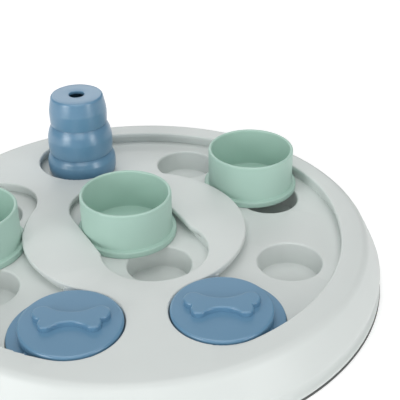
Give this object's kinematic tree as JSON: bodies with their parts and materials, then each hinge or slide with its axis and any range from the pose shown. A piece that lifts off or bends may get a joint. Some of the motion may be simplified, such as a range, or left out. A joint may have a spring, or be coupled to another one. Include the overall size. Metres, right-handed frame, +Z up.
{
  "type": "dog puzzle feeder board",
  "caption": "Round treat-puzzle board for dogs: cups slide in channels over treat wells, bone-topped lids tip open at a pedal and a hollow cone lifts off.",
  "frame": {"origin": "middle of the board's underside, on the plane of the rubber ring", "axes": "+Z up, out of the board's top; -Y towards the dog that uses it; the bones on the lids lie along X"},
  "size_m": [0.23, 0.23, 0.0598],
  "materials": {
    "grey_plastic": "satin light grey moulded plastic",
    "dark_rubber": "matt dark grey soft rubber",
    "zinc_screw": "plain zinc-plated steel",
    "mint_plastic": "satin mint green moulded plastic",
    "blue_plastic": "satin dusty blue moulded plastic"
  },
  "bodies": {
    "board": {"base_tray": "grey_plastic", "top_cover": "grey_plastic", "non_slip_ring": "dark_rubber", "cover_screws": "zinc_screw"},
    "centre_cup": {"centre_cup": "mint_plastic"},
    "right_cup": {"right_cup": "mint_plastic"},
    "left_cup": {"left_cup": "mint_plastic"},
    "right_lid": {"right_flip_lid": "blue_plastic"},
    "left_lid": {"left_flip_lid": "blue_plastic"},
    "cone": {"treat_cone": "blue_plastic"}
  },
  "joints": [
    {"name": "centre_cup_slide", "type": "slide", "parent": "board", "child": "centre_cup", "axis": [0.4772, -0.8788, 0], "range_m": [-0.0147, 0.0273]},
    {"name": "right_cup_slide", "type": "hinge", "parent": "board", "child": "right_cup", "pos_m": [0, 0, 0.0164], "axis": [0, 0, 1], "range_deg": [-57.5, 42]},
    {"name": "left_cup_slide", "type": "hinge", "parent": "board", "child": "left_cup", "pos_m": [0, 0, 0.0164], "axis": [0, 0, 1], "range_deg": [-21.5, 27]},
    {"name": "right_lid_tip", "type": "hinge", "parent": "board", "child": "right_lid", "pos_m": [0.04838, -0.05667, 0.0184], "axis": [-0.5299, 0.848, 0], "range_deg": [0, 28]},
    {"name": "left_lid_tip", "type": "hinge", "parent": "board", "child": "left_lid", "pos_m": [-0.03183, -0.06738, 0.0184], "axis": [-0.289, -0.9573, 0], "range_deg": [0, 28]},
    {"name": "cone_lift", "type": "slide", "parent": "board", "child": "cone", "axis": [0, 0, 1], "range_m": [0, 0.06]}
  ]
}
